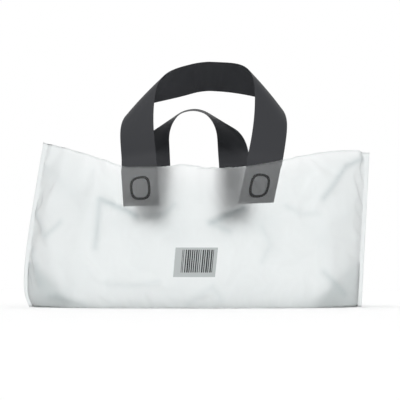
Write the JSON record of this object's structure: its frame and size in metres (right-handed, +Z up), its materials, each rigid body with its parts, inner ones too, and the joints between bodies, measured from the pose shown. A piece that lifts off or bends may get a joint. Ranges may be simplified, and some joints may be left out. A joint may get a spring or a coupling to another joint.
{
  "type": "plastic carrier bag",
  "caption": "Wide frosted film carrier bag standing open on a gusseted base, with soft loop handles of flat dark strip welded inside the mouth.",
  "frame": {"origin": "middle of the flat base, on the ground", "axes": "+Z up, +X across the bag from seam to seam, -Y towards the front panel with the label"},
  "size_m": [0.3836, 0.1749, 0.3002],
  "materials": {
    "film": "frosted translucent polyethylene film",
    "strip": "satin charcoal polyethylene strip",
    "label": "matt off-white label with plain dark bars"
  },
  "bodies": {
    "root": {"bag_body": "film", "front_handle": "strip", "rear_handle": "strip", "label": "label"}
  },
  "joints": []
}
